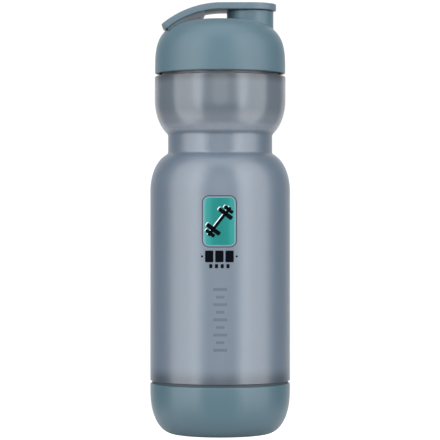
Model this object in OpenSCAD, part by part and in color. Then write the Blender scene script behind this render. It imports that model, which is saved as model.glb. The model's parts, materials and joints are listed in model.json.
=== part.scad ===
// Flip-top sports bottle: a blow-moulded squeeze body with a grip waist, a domed screw lid with a
// drinking spout and a hinged strap that closes it, and a screw-on storage cup under the body.
// Millimetres. The origin is the middle of the foot, +Z is up, and +X points to the spout.

/* [Body] */
// Radius of the main barrel
body_r = 37; // [36:0.5:38]
// Radius of the bowl above the waist
bowl_r = 34.65; // [34.4:0.05:35]
// Radius of the grip waist
waist_r = 27.6; // [26:0.2:28.5]
// Wall of the blow-moulded body
body_wall = 1.4; // [1.2:0.1:1.8]
// Height of the middle of the seam between storage cup and body
base_seam_z = 27.7; // [26:0.1:29]
// Lower edge of the waist
waist_low_z = 148.2; // [146:0.2:150]
// Upper edge of the waist
waist_high_z = 158.4; // [157:0.2:160]
// Height of the middle of the seam between body and lid
lid_seam_z = 189.9; // [189:0.1:191]
// Open gap at each seam
seam_gap = 1.4; // [1:0.1:1.8]

/* [Lid] */
// Radius of the lid's skirt
lid_r = 34.5; // [34.3:0.05:34.6]
// Wall of the lid
lid_wall = 2; // [1.8:0.1:2.2]
// Top of the lid's dome
dome_top_z = 219.3; // [218.8:0.1:219.6]
// Distance from the bottle's axis to the spout's axis
spout_x = 15.9; // [15:0.1:16.4]
// Outer radius of the spout
spout_r = 12.35; // [12:0.05:12.6]
// Bore radius of the spout
spout_bore_r = 10.4; // [10:0.1:10.6]

/* [Strap] */
// Top of the strap, which is the top of the bottle
strap_top_z = 227.35; // [227.2:0.05:227.6]
// Thickness of the strap
strap_t = 3.5; // [3.4:0.05:3.7]
// Width of the strap
strap_w = 28; // [27:0.2:29]
// Outer radius of the strap's curved half
strap_bend_r = 49.8; // [49.4:0.1:50.2]
// Angle that the curved half turns through
strap_bend_deg = 40; // [39.5:0.1:40.5]

/* [Closure threads] */
// Rise of both screw threads in one turn
thread_pitch = 4.5; // [4.3:0.1:4.7]
// Turns of thread on each neck
thread_turns = 1.5; // [1.2:0.1:1.6]

/* [Print] */
// Width of the coloured badge panel
badge_w = 15.8; // [12:0.2:18]
// Height of the coloured badge panel
badge_h = 24.4; // [20:0.2:28]
// Thickness of the printed ink
ink_t = 0.1; // [0.08:0.01:0.15]

/* [Hidden] */
$fn = 96;
lip = 0.01; // how far cutting tools run past the face they cut

// Body levels
body_low_z = base_seam_z + seam_gap / 2;
body_high_z = lid_seam_z - seam_gap / 2;
body_edge_r = 1;
shoulder_z = 128; // where the straight barrel turns into the shoulder
shoulder_a = 13.8;
shoulder_n = 2.1;
bowl_z = 176.8; // where the straight bowl turns inward to the waist
bowl_a = 13.3;
bowl_n = 2;

// Necks: the top one enters the lid, the bottom one enters the storage cup
thread_rise = 1.2; // height of a thread rib above its wall
neck_wall = 1.8;
top_neck_r = 30.8;
top_neck_z = 203;
low_neck_r = 33.1;
low_neck_z = 16;
floor_rise = 3; // push-up of the bottle's floor
floor_t = 1.6;
low_neck_curve = 1.4;

// Lid
dome_z = lid_seam_z + 2.1; // where the skirt turns into the dome
dome_n = 3.33;
lid_low_z = lid_seam_z + seam_gap / 2;
lid_edge_r = 0.6;
lid_inner_r = lid_r - lid_wall;
seal_z = 204.7; // underside of the ledge that presses the gasket
seal_ledge_t = 1.6;
ledge_top_z = seal_z + seal_ledge_t;
plug_skirt_r = 28.4;
plug_skirt_t = 1.5;
plug_skirt_z = 200.5;
gasket_gap = 0.05;

// Strap, its hinge, its vent block and its plug
strap_low_z = strap_top_z - strap_t;
strap_in_r = strap_bend_r - strap_t;
bend_x = 1.1;
bend_z = strap_top_z - strap_bend_r;
strap_corner_r = 1.2;
spout_top_z = strap_low_z - 0.35;
hinge_inset = 1.7; // from the strap's end face to the hinge axis, along the strap
hinge_mid_r = strap_bend_r - strap_t / 2;
hinge_deg = strap_bend_deg - hinge_inset / hinge_mid_r * 180 / PI;
hinge_x = bend_x - hinge_mid_r * sin(hinge_deg);
hinge_z = bend_z + hinge_mid_r * cos(hinge_deg);
pin_r = 0.8;
pin_clear = 0.05;
pin_back_y = 13.6; // the pin goes in from the back, where its hole is open
pin_front_y = -12;
ear_y = 6.5;
ear_w = 3.6;
ear_gap = 0.25;
ear_r = 1.7;
ear_root = 3.3; // how deep an ear's root goes below the hinge axis, into the dome's wall
slot_reach = 2.3;
saddle_r = 2.65; // room for the strap's square end to turn in
saddle_wall = 1.9;
relief_w = 17; // a shallow relief under the strap's end, where the dome comes closest
relief_reach = 8;
relief_rise = 1.2; // from the relief's ceiling up to the hinge axis
block_w = 18;
block_left_x = -20.5;
block_foot_x = -9.8;
block_top_x = -6.6;
block_gap = 0.3;
web_in_y = 10.4; // inner face of each side web that closes the wedge beside the block
web_out_y = 13;
web_left_x = -27.4;
vent_x = -15;
vent_hole_r = 0.7;
vent_seat_r = 1.6;
vent_seat_z = dome_top_z - 0.2;
vent_pad_r = 2.6;
vent_pad_t = 1.3;
boss_r = 6.5;
boss_rim_r = 7.5;
boss_rim_t = 1.2;
boss_h = 3.2;
plug_depth = 4.6;
plug_top_r = 10.2;
plug_low_r = 9.5;
plug_bead_r = 10.3;

// Storage cup
cup_top_z = base_seam_z - seam_gap / 2;
cup_foot_r = 23;
cup_curve_z = 24.8;
cup_n = 2.42;
cup_wall = 2.2;
cup_floor_t = 2;
cup_edge_r = 0.8;
foot_recess_r = 20;
foot_recess_t = 0.8;
cup_inner_r = body_r - cup_wall;
seal_seat_r = cup_inner_r + 1.2;
seal_seat_t = 0.8;
cup_gasket_in_r = 34.5;

// Threads
rib_root_h = 2.3;
rib_crest_h = 1;
rib_embed = 0.3;
rib_fade_deg = 30;
rib_steps = 60;
top_thread_z = 192.6; // middle of the rib where the top neck's thread starts
low_thread_z = 18;

// Print
print_x = -0.4; // the badge stands this far off the middle
print_z = 112.4; // height of the middle of the badge
badge_corner_r = 2.6;
border_gap = 0.45;
border_t = 0.45;
panel_edge_t = 0.35;
plate_r = 4.3; // radius of the symbol's larger weight plates
caption_z = 94.4;
caption_bar = [4.3, 6];
caption_pitch = 5.25;
caption_dot_r = 0.55;
tick_z = 89.4;
tick_size = [1.6, 2.1];
tick_pitch = 2.95;
scale_low_z = 46.2;
scale_pitch = 3.9;
scale_bars = 9;
scale_bar_t = 1.5;
scale_long = 7.2;
scale_short = 4.4;

// --- Curves -------------------------------------------------------------------------------------

// Points of a quarter superellipse round [cx, cz], from its widest point to where it reaches share
// of its height. A negative b runs downwards.
function super_arc(cx, cz, a, b, n, share = 1, steps = 14) =
    let (last = asin(pow(share, n / 2)))
    [for (i = [0:steps]) let (t = last * i / steps)
        [cx + a * pow(cos(t), 2 / n), cz + b * pow(sin(t), 2 / n)]];

// The share of a superellipse's height at which its radius has shrunk to r
function share_at(cx, a, n, r) = pow(1 - pow((r - cx) / a, n), 1 / n);

// A quarter circle round [cx, cz] from angle a0 to angle a1
function arc(cx, cz, r, a0, a1, steps = 6) =
    [for (i = [0:steps]) let (t = a0 + (a1 - a0) * i / steps) [cx + r * cos(t), cz + r * sin(t)]];

function reversed(list) = [for (i = [len(list) - 1:-1:0]) list[i]];

// The body's two curves that meet the waist, moved in by wall for the inner ones
function shoulder(wall) =
    let (cx = body_r - shoulder_a, a = shoulder_a - wall,
         b = (waist_low_z - shoulder_z) / share_at(cx, shoulder_a, shoulder_n, waist_r))
    super_arc(cx, shoulder_z, a, b - wall, shoulder_n, share_at(cx, a, shoulder_n, waist_r - wall));
function bowl(wall) =
    let (cx = bowl_r - bowl_a, a = bowl_a - wall,
         b = (bowl_z - waist_high_z) / share_at(cx, bowl_a, bowl_n, waist_r))
    reversed(super_arc(cx, bowl_z, a, -(b - wall), bowl_n,
        share_at(cx, a, bowl_n, waist_r - wall)));
function dome(wall) =
    super_arc(0, dome_z, lid_r - wall, dome_top_z - dome_z - wall, dome_n, 1, 26);

// Height of the dome, grown by grow, at a distance r from the bottle's axis
function dome_height(r, grow) =
    dome_z + (dome_top_z - dome_z + grow) * pow(1 - pow(r / (lid_r + grow), dome_n), 1 / dome_n);

// The cup's outer curve, or its inner one
function cup(wall, floor_z) =
    reversed(super_arc(cup_foot_r, cup_curve_z, body_r - cup_foot_r - wall,
        -(cup_curve_z - floor_z), cup_n));

// --- Screw threads ------------------------------------------------------------------------------

// One ring of a helical rib: four corners at angle phi
function rib_ring(phi, z, r_in, h_in, r_out, h_out) =
    [for (c = [[r_in, -h_in], [r_out, -h_out], [r_out, h_out], [r_in, h_in]])
        [c[0] * cos(phi), c[0] * sin(phi), z + c[1] / 2]];

// A right-hand helical rib. Its root is sunk in the wall at wall_r, and its crest stands rise from
// it: outward if rise is positive, inward if negative. It fades out at both ends.
module thread_rib(wall_r, rise, start_z, start_deg) {
    span = 360 * thread_turns;
    rings = [for (i = [0:rib_steps])
        let (phi = span * i / rib_steps,
             fade = min(1, 0.2 + phi / rib_fade_deg, 0.2 + (span - phi) / rib_fade_deg),
             root = wall_r - sign(rise) * rib_embed,
             crest = wall_r + rise * fade,
             crest_h = rib_root_h + (rib_crest_h - rib_root_h) * fade,
             z = start_z + thread_pitch * phi / 360)
        rise > 0 ? rib_ring(phi + start_deg, z, root, rib_root_h, crest, crest_h)
                 : rib_ring(phi + start_deg, z, crest, crest_h, root, rib_root_h)];
    sides = [for (i = [0:rib_steps - 1], j = [0:3])
        let (a = 4 * i + j, b = 4 * i + (j + 1) % 4) each [[a, b, b + 4], [a, b + 4, a + 4]]];
    last = 4 * rib_steps;
    ends = [[2, 1, 0], [3, 2, 0], [last, last + 1, last + 2], [last, last + 2, last + 3]];
    polyhedron(points = [for (ring = rings) each ring], faces = concat(sides, ends), convexity = 6);
}

// --- Body ---------------------------------------------------------------------------------------

// Radius of the low neck's smooth collar, which centres the cup's gasket
low_collar_r = low_neck_r + thread_rise;

module bottle_body() {
    ledge = 1.6; // thickness of the two ledges where the necks leave the body
    inner_floor_z = low_neck_z + floor_t;
    low_in_r = low_neck_r - neck_wall;
    top_in_r = top_neck_r - neck_wall;
    outer = concat(
        [[0, low_neck_z + floor_rise]],
        reversed(super_arc(0, low_neck_z, 26, floor_rise, 2, 0.98, 8)),
        arc(low_neck_r - low_neck_curve, low_neck_z + low_neck_curve, low_neck_curve, -90, 0),
        [[low_neck_r, cup_top_z - 0.9], [low_collar_r, cup_top_z - 0.6], [low_collar_r, body_low_z]],
        arc(body_r - body_edge_r, body_low_z + body_edge_r, body_edge_r, -90, 0),
        shoulder(0),
        bowl(0),
        arc(bowl_r - body_edge_r, body_high_z - body_edge_r, body_edge_r, 0, 90),
        [[top_neck_r, body_high_z], [top_neck_r, top_neck_z - 0.6], [top_neck_r - 0.6, top_neck_z]]);
    inner = concat(
        [[top_in_r, top_neck_z], [top_in_r, body_high_z - ledge]],
        reversed(super_arc(top_in_r, body_high_z - ledge - 5, bowl_r - body_wall - top_in_r, 5, 2, 0.99)),
        reversed(bowl(body_wall)),
        reversed(shoulder(body_wall)),
        super_arc(low_in_r, body_low_z + ledge + 5, body_r - body_wall - low_in_r, -5, 2, 0.99),
        [[low_in_r, body_low_z + ledge]],
        reversed(arc(low_in_r - low_neck_curve, inner_floor_z + low_neck_curve, low_neck_curve, -90, 0)),
        super_arc(0, inner_floor_z, 26 - floor_t, floor_rise, 2, 0.98, 8),
        [[0, inner_floor_z + floor_rise]]);
    color([0.55, 0.62, 0.68, 0.85]) {
        rotate_extrude() polygon(concat(outer, inner));
        thread_rib(top_neck_r, thread_rise, top_thread_z, 0);
        thread_rib(low_neck_r, thread_rise, low_thread_z, 0);
    }
}

// --- Print on the body's front --------------------------------------------------------------------

// Ink of one flat shape, wrapped on the barrel's front
module ink(layer = 0, x = print_x) {
    low_r = body_r + layer * ink_t;
    intersection() {
        translate([x, 0, print_z]) rotate([90, 0, 0]) linear_extrude(body_r + 5) children();
        difference() {
            cylinder(r = low_r + ink_t, h = 2 * print_z);
            translate([0, 0, -lip]) cylinder(r = low_r, h = 2 * print_z + 2 * lip);
        }
    }
}

module rounded_rect(w, h, r) {
    square([w - 2 * r, h], center = true);
    square([w, h - 2 * r], center = true);
    for (x = [-1, 1], y = [-1, 1]) translate([x * (w / 2 - r), y * (h / 2 - r)]) circle(r);
}

module rounded_frame(w, h, r, t) {
    difference() {
        rounded_rect(w + 2 * t, h + 2 * t, r + t);
        rounded_rect(w, h, r);
    }
}

// The lifting symbol on the badge: a bar held upright on the slant, with two plates at each end
module symbol_shape() {
    rotate(52) {
        square([18.6, 1.5], center = true);
        for (side = [-1, 1]) {
            translate([side * 5.1, 0]) rounded_rect(2.3, 2 * plate_r, 0.7);
            translate([side * 7.7, 0]) rounded_rect(1.9, 1.3 * plate_r, 0.6);
        }
    }
}

module badge_panel() {
    color([0.1, 0.6, 0.54]) ink() rounded_rect(badge_w, badge_h, badge_corner_r);
}

module badge_border() {
    far = border_gap + panel_edge_t;
    color([0.1, 0.11, 0.14]) ink()
        rounded_frame(badge_w + 2 * far, badge_h + 2 * far, badge_corner_r + far, border_t);
}

module badge_symbol() {
    color([0.02, 0.02, 0.03]) ink(layer = 1) symbol_shape();
}

module badge_caption() {
    color([0.05, 0.06, 0.1]) ink() {
        for (i = [-1:1])
            translate([i * caption_pitch, caption_z - print_z])
                rounded_rect(caption_bar[0], caption_bar[1], 0.5);
        for (side = [-1, 1])
            translate([side * (badge_w / 2 + 1.1), caption_z - print_z]) circle(caption_dot_r);
        for (i = [-1.5:1.5])
            translate([i * tick_pitch, tick_z - print_z])
                square([tick_size[0], tick_size[1]], center = true);
    }
}

// A plain fill scale: long and short bars, one above the other
module side_scale() {
    color([0.42, 0.48, 0.53]) ink(x = 0)
        for (i = [0:scale_bars - 1])
            translate([0, scale_low_z + i * scale_pitch - print_z])
                rounded_rect(i % 2 == 0 ? scale_long : scale_short, scale_bar_t, 0.5);
}

// --- Lid ------------------------------------------------------------------------------------------

// Everything inside the dome's outer surface, grown by grow
module dome_solid(grow = 0) {
    rotate_extrude() polygon(concat([[0, dome_z], [lid_r + grow, dome_z]], dome(-grow)));
}

// A shape drawn in X and Z, given its width along Y
module across(width, y = 0) {
    translate([0, y + width / 2, 0]) rotate([90, 0, 0]) linear_extrude(width) children();
}

module along_hinge(r, y0, y1) {
    translate([hinge_x, y1, hinge_z]) rotate([90, 0, 0]) cylinder(r = r, h = y1 - y0);
}

module lid_shell() {
    outer = concat(
        [[0, seal_z]],
        [[plug_skirt_r - plug_skirt_t, seal_z], [plug_skirt_r - plug_skirt_t, plug_skirt_z],
         [plug_skirt_r, plug_skirt_z], [plug_skirt_r, seal_z], [lid_inner_r, seal_z],
         [lid_inner_r, lid_low_z + 0.4], [lid_inner_r + 0.4, lid_low_z]],
        arc(lid_r - lid_edge_r, lid_low_z + lid_edge_r, lid_edge_r, -90, 0),
        dome(0));
    rotate_extrude() polygon(outer);
}

module lid_cavity() {
    ceiling = [for (p = dome(lid_wall)) if (p[1] > ledge_top_z + 0.3) p];
    cavity = concat(
        [[0, seal_z - lip], [plug_skirt_r - plug_skirt_t, seal_z - lip],
         [plug_skirt_r - plug_skirt_t, ledge_top_z], [ceiling[0][0], ledge_top_z]],
        ceiling);
    rotate_extrude() polygon(cavity);
}

// One hinge ear of the dome: a round eye on a root that goes into the wall
module hinge_ear(y) {
    across(ear_w, y) translate([hinge_x, hinge_z]) {
        circle(ear_r);
        rotate(hinge_deg) translate([-ear_r, -ear_root]) square([2 * ear_r, ear_root]);
    }
}

module lid_dome() {
    color([0.45, 0.55, 0.6]) difference() {
        union() {
            difference() {
                union() {
                    difference() {
                        union() {
                            lid_shell();
                            translate([spout_x, 0, ledge_top_z])
                                cylinder(r = spout_r, h = spout_top_z - ledge_top_z);
                            translate([vent_x, 0, ledge_top_z])
                                cylinder(r = vent_seat_r, h = vent_seat_z - ledge_top_z);
                        }
                        lid_cavity();
                    }
                    intersection() { // thickens the wall behind the saddle
                        dome_solid(-0.5);
                        along_hinge(saddle_r + saddle_wall, -strap_w / 2, strap_w / 2);
                    }
                }
                along_hinge(saddle_r, -strap_w / 2 - 0.4, strap_w / 2 + 0.4);
            }
            for (side = [-1, 1]) hinge_ear(side * ear_y);
            thread_rib(lid_inner_r, -thread_rise, top_thread_z + thread_pitch / 2, 0);
        }
        translate([spout_x, 0, seal_z]) cylinder(r = spout_bore_r, h = spout_top_z - seal_z + lip);
        translate([vent_x, 0, seal_z]) cylinder(r = vent_hole_r, h = vent_seat_z - seal_z + lip);
        along_hinge(pin_r, -strap_w / 2, strap_w / 2);
    }
}

module lid_gasket() {
    color([0.85, 0.87, 0.88]) rotate_extrude()
        translate([plug_skirt_r + 0.1, top_neck_z + gasket_gap])
            square([top_neck_r + 0.5 - plug_skirt_r, seal_z - top_neck_z - 2 * gasket_gap]);
}

module hinge_pin() {
    color("silver") along_hinge(pin_r, pin_front_y, pin_back_y);
}

// --- Flip strap -----------------------------------------------------------------------------------

// Side view of the strap: a flat half over the spout and a curved half down to the hinge
module strap_side() {
    far = 2 * strap_bend_r;
    translate([bend_x, strap_low_z]) square([spout_x + strap_w / 2 + 1 - bend_x, strap_t]);
    translate([bend_x, bend_z]) intersection() {
        difference() {
            circle(strap_bend_r);
            circle(strap_in_r);
        }
        polygon([[0, 0], [0, far], [-far * sin(strap_bend_deg), far * cos(strap_bend_deg)]]);
    }
}

// Top view of the strap: round over the spout, with softened corners at the hinge
module strap_plan() {
    end_x = bend_x - strap_bend_r * sin(strap_bend_deg) - lip;
    half = strap_w / 2;
    translate([spout_x - 0.2, 0]) circle(half);
    translate([end_x + strap_corner_r, -half]) square([spout_x - 0.2 - end_x - strap_corner_r, strap_w]);
    translate([end_x, strap_corner_r - half]) square([strap_w, strap_w - 2 * strap_corner_r]);
    for (side = [-1, 1])
        translate([end_x + strap_corner_r, side * (half - strap_corner_r)]) circle(strap_corner_r);
}

// A slab that fills the wedge between strap and dome from left_x on, w wide round y. Its floor
// clears the dome at near_y, the slab's closest point to the bottle's axis.
module wedge_slab(left_x, w, y, near_y, steps = 9) {
    floor_line = [for (i = [0:steps])
        let (x = left_x + (block_foot_x - left_x) * i / steps)
        [x, dome_height(norm([x, near_y]), block_gap)]];
    intersection() {
        across(w, y) polygon(concat(floor_line, [[block_top_x, strap_low_z], [left_x, strap_low_z]]));
        across(w, y) translate([bend_x, bend_z]) circle(strap_in_r + 0.5);
    }
}

// The block over the vent hole, and the two webs that close the wedge under the strap's edges
module wedge() {
    web_w = web_out_y - web_in_y;
    wedge_slab(block_left_x, block_w, 0, 0);
    for (side = [-1, 1])
        wedge_slab(web_left_x, web_w, side * (web_in_y + web_out_y) / 2, web_in_y);
}

// The mushroom boss under the strap that holds the plug
module plug_boss() {
    translate([spout_x, 0, strap_low_z - boss_h]) {
        cylinder(r = boss_r, h = boss_h + 0.5);
        cylinder(r = boss_rim_r, h = boss_rim_t);
    }
}

module flip_strap() {
    color([0.47, 0.55, 0.6]) difference() {
        union() {
            intersection() {
                across(strap_w) strap_side();
                translate([0, 0, dome_z]) linear_extrude(strap_top_z - dome_z + 1) strap_plan();
            }
            wedge();
            plug_boss();
        }
        translate([vent_x, 0, dome_z])
            cylinder(r = vent_pad_r, h = vent_seat_z + vent_pad_t + 2 * gasket_gap - dome_z);
        across(relief_w) translate([hinge_x, hinge_z]) rotate(hinge_deg)
            translate([-4, -relief_rise - 6]) square([4 + relief_reach, 6]);
        for (side = [-1, 1])
            across(ear_w + 2 * ear_gap, side * ear_y) translate([hinge_x, hinge_z])
                rotate(hinge_deg) translate([-4, -4]) square([4 + slot_reach, 8]);
        along_hinge(pin_r + pin_clear, pin_front_y - 0.2, strap_w / 2 + 1);
    }
}

module spout_plug() {
    low_z = strap_low_z - plug_depth;
    boss_low_z = strap_low_z - boss_h;
    skin = 0.02; // the silicone sits on the boss with this much room
    color([0.8, 0.83, 0.84]) translate([spout_x, 0, 0]) rotate_extrude() polygon(concat(
        [[0, low_z], [plug_low_r - 0.8, low_z]],
        arc(plug_low_r - 0.8, low_z + 0.8, 0.8, -90, 0),
        [[plug_bead_r - 0.35, low_z + 1.7]],
        arc(plug_bead_r - 0.5, low_z + 2.2, 0.5, -60, 60),
        [[plug_top_r - 0.15, low_z + 2.8], [plug_top_r, strap_low_z - skin],
         [boss_r + skin, strap_low_z - skin],
         [boss_r + skin, boss_low_z + boss_rim_t + skin],
         [boss_rim_r + skin, boss_low_z + boss_rim_t + skin],
         [boss_rim_r + skin, boss_low_z - skin], [0, boss_low_z - skin]]));
}

module vent_pad() {
    color([0.8, 0.83, 0.84]) translate([vent_x, 0, vent_seat_z + gasket_gap])
        cylinder(r = vent_pad_r - 0.02, h = vent_pad_t);
}

// --- Storage cup ------------------------------------------------------------------------------------

module storage_cup() {
    outer = concat(
        [[0, foot_recess_t], [foot_recess_r - foot_recess_t, foot_recess_t], [foot_recess_r, 0]],
        cup(0, 0),
        arc(body_r - cup_edge_r, cup_top_z - cup_edge_r, cup_edge_r, 0, 90),
        [[seal_seat_r, cup_top_z], [seal_seat_r, cup_top_z - seal_seat_t],
         [cup_inner_r, cup_top_z - seal_seat_t]],
        reversed(cup(cup_wall, cup_floor_t)),
        [[0, cup_floor_t]]);
    color([0.44, 0.54, 0.59]) {
        rotate_extrude() polygon(outer);
        thread_rib(cup_inner_r, -thread_rise, low_thread_z - thread_pitch / 2, 0);
    }
}

module cup_gasket() {
    low_z = cup_top_z - seal_seat_t + gasket_gap;
    high_z = body_low_z - gasket_gap;
    color([0.25, 0.31, 0.35]) rotate_extrude()
        translate([cup_gasket_in_r, low_z])
            square([seal_seat_r - gasket_gap - cup_gasket_in_r, high_z - low_z]);
}

bottle_body();
badge_panel();
badge_border();
badge_symbol();
badge_caption();
side_scale();
lid_gasket();
lid_dome();
hinge_pin();
flip_strap();
spout_plug();
vent_pad();
cup_gasket();
storage_cup();
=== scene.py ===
"""Looks of the flip-top sports bottle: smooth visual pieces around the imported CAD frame.

Profiles are written in millimetres in the CAD's own frame (z up from the foot, x towards the spout)
and scaled to metres when a mesh is made. What the frame knows is read from it, and the sizes inside a
node, which it doesn't list, repeat the CAD's.
"""

import json
import math

import bmesh
import bpy
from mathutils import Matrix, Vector


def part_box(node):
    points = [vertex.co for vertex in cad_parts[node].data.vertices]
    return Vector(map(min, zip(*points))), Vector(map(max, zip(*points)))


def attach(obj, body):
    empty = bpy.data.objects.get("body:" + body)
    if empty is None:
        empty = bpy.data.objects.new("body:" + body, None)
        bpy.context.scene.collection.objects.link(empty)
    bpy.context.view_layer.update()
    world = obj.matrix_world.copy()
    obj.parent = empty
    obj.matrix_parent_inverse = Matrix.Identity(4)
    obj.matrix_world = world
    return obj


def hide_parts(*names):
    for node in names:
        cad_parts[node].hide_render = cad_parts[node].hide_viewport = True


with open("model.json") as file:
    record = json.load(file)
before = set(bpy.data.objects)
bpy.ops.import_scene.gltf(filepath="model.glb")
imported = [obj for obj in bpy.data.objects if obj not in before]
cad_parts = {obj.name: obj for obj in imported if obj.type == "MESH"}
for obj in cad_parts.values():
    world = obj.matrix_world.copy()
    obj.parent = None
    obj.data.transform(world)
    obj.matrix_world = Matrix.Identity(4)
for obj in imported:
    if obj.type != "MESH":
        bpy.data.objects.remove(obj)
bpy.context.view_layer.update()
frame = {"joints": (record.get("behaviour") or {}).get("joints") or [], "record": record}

MM = 0.001
AROUND = 192  # segments of a turned piece


def rounded_mm(metres):
    """A length from the frame in millimetres, without the float's last digits."""
    return round(metres / MM, 3)


def span(node, axis):
    """Where a CAD node starts and ends along an axis, in millimetres."""
    return [rounded_mm(corner["xyz".index(axis)]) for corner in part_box(node)]


# ---- Sizes read from the frame, in millimetres ----
BODY_R, LID_R, CUP_R = (span(node, "x")[1] for node in ("bottle_body", "lid_dome", "storage_cup"))
LID_RING_R, CUP_RING_R = (span(node, "x")[1] for node in ("lid_gasket", "cup_gasket"))
PAD_RIGHT = span("vent_pad", "x")[1]
BADGE_LEFT, BADGE_RIGHT = span("badge_panel", "x")
STRAP_FRONT, STRAP_BACK = span("flip_strap", "y")
PIN_FRONT, PIN_BACK = span("hinge_pin", "y")
LOW_NECK_Z, TOP_NECK_Z = span("bottle_body", "z")
LID_LOW, SPOUT_TOP = span("lid_dome", "z")
CUP_FOOT_Z, CUP_TOP = span("storage_cup", "z")
LID_RING_LOW, LID_RING_TOP = span("lid_gasket", "z")
CUP_RING_LOW, CUP_RING_TOP = span("cup_gasket", "z")
PAD_LOW, PAD_TOP = span("vent_pad", "z")
BADGE_LOW, BADGE_TOP = span("badge_panel", "z")
STRAP_TOP = span("flip_strap", "z")[1]
JOINTS = {joint["name"]: joint for joint in frame["joints"]}
HINGE_X, HINGE_Z = (rounded_mm(JOINTS["strap_flip"]["pos_m"][i]) for i in (0, 2))
RISE_PER_RADIAN = frame["record"]["behaviour"]["couplings"][0]["ratio"]
PITCH = rounded_mm(RISE_PER_RADIAN * 2 * math.pi)

# ---- Sizes that repeat the CAD's, in millimetres ----
BOWL_R, WAIST_R, WALL = 34.65, 27.6, 1.4
BODY_LOW, BODY_HIGH = 28.4, 189.2
WAIST_LOW, WAIST_HIGH = 148.2, 158.4
SHOULDER_Z, SHOULDER_A, SHOULDER_N = 128.0, 13.8, 2.1
BOWL_Z, BOWL_A, BOWL_N = 176.8, 13.3, 2.0
TOP_NECK_R, LOW_NECK_R, LOW_COLLAR_R, NECK_WALL = 30.8, 33.1, 34.3, 1.8
TURNS, RIB = 1.5, 1.2
TOP_THREAD_Z, LOW_THREAD_Z = 192.6, 18.0
LID_WALL, SEAL_Z, LEDGE_TOP = 2.0, 204.7, 206.3
SKIRT_R, SKIRT_IN_R, SKIRT_Z = 28.4, 26.9, 200.5
DOME_Z, DOME_TOP, DOME_N = 192.0, 219.3, 3.33
SPOUT_R, BORE_R = 12.35, 10.4
VENT_X, VENT_R, VENT_SEAT_R, VENT_SEAT_TOP = -15.0, 0.7, 1.6, 219.1
STRAP_T, STRAP_CORNER = 3.5, 1.2
SPOUT_X = 15.9
BEND_X, BEND_R, BEND_DEG = 1.1, 49.8, 40.0
BEND_Z = STRAP_TOP - BEND_R
HINGE_LEAN = math.atan2(BEND_X - HINGE_X, HINGE_Z - BEND_Z)
PIN_R, PIN_HOLE_R, SADDLE_R = 0.8, 0.85, 2.65
EAR_Y, EAR_R, EAR_ROOT, EAR_W = 6.5, 1.7, 3.3, 3.6
LID_RING_IN_R, CUP_RING_IN_R = 28.5, 34.5
CUP_FOOT_R, CUP_CURVE_Z, CUP_N, CUP_WALL = 23.0, 24.8, 2.42, 2.2


# ---- Curves ----
def super_arc(cx, cz, a, b, n, share=1.0, steps=40):
    """Quarter superellipse from its widest point up to share of its height; negative b runs down."""
    last = math.asin(share ** (n / 2))
    points = []
    for i in range(steps + 1):
        t = last * i / steps
        points.append((cx + a * max(math.cos(t), 0.0) ** (2 / n), cz + b * math.sin(t) ** (2 / n)))
    return points


def share_at(cx, a, n, r):
    """The share of its height at which a superellipse round cx has come in to the radius r."""
    return (1 - ((r - cx) / a) ** n) ** (1 / n)


def dome_height(r):
    """The height of the dome's outside at a radius."""
    return DOME_Z + (DOME_TOP - DOME_Z) * (1 - min(r / LID_R, 1.0) ** DOME_N) ** (1 / DOME_N)


def soften(path, corner, reach, steps=7):
    """Replace the corner of a polyline by a smooth bend that starts reach before it."""
    path = [Vector(p) for p in path]
    at = min(range(len(path)), key=lambda i: (path[i] - Vector(corner)).length)

    def walk(step):
        left, i = reach, at
        while 0 <= i + step < len(path):
            edge = path[i + step] - path[i]
            if edge.length >= left:
                return path[i] + edge * (left / edge.length), i + step
            left -= edge.length
            i += step
        return path[i].copy(), i

    (start, before), (end, after) = walk(-1), walk(1)
    bend = []
    for k in range(steps + 1):
        t = k / steps
        bend.append(start * (1 - t) ** 2 + path[at] * (2 * t * (1 - t)) + end * t ** 2)
    out = path[:before + 1] + bend + path[after:]
    return [tuple(p) for i, p in enumerate(out) if i == 0 or (p - out[i - 1]).length > 1e-4]


def soften_all(path, corners):
    """Soften each (corner, reach) in turn."""
    for corner, reach in corners:
        path = soften(path, corner, reach)
    return path


# ---- Solids: each is (vertices in mm, faces) ----
def turned(path, axis_x=0.0, around=AROUND, ring=False):
    """Turn a profile round the vertical through axis_x. A ring profile closes on itself."""
    verts, faces, rows = [], [], []
    for r, z in path:
        if r < 1e-4:
            rows.append([len(verts)] * around)
            verts.append((axis_x, 0.0, z))
        else:
            first = len(verts)
            rows.append(list(range(first, first + around)))
            for k in range(around):
                t = 2 * math.pi * k / around
                verts.append((axis_x + r * math.cos(t), r * math.sin(t), z))
    pairs = list(zip(rows, rows[1:]))
    if ring:
        pairs.append((rows[-1], rows[0]))
    for low, high in pairs:
        for k in range(around):
            n = (k + 1) % around
            face = [low[k], low[n], high[n], high[k]]
            face = [v for i, v in enumerate(face) if v != face[i - 1]]
            if len(face) > 2:
                faces.append(face)
    return verts, faces


def along_y(solid, x, z):
    """Lay a solid turned round z onto the Y direction through x, z."""
    verts, faces = solid
    return [(x + vx, vz, z - vy) for vx, vy, vz in verts], faces


def prism(outline, y0, y1):
    """Extrude an outline in x and z between two y planes."""
    n = len(outline)
    verts = [(x, y0, z) for x, z in outline] + [(x, y1, z) for x, z in outline]
    faces = [list(range(n)), list(range(2 * n - 1, n - 1, -1))]
    faces += [[i, (i + 1) % n, n + (i + 1) % n, n + i] for i in range(n)]
    return verts, faces


def joined(*solids):
    """Several solids as the parts of one mesh."""
    verts, faces = [], []
    for v, f in solids:
        base = len(verts)
        verts += v
        faces += [[i + base for i in face] for face in f]
    return verts, faces


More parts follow.
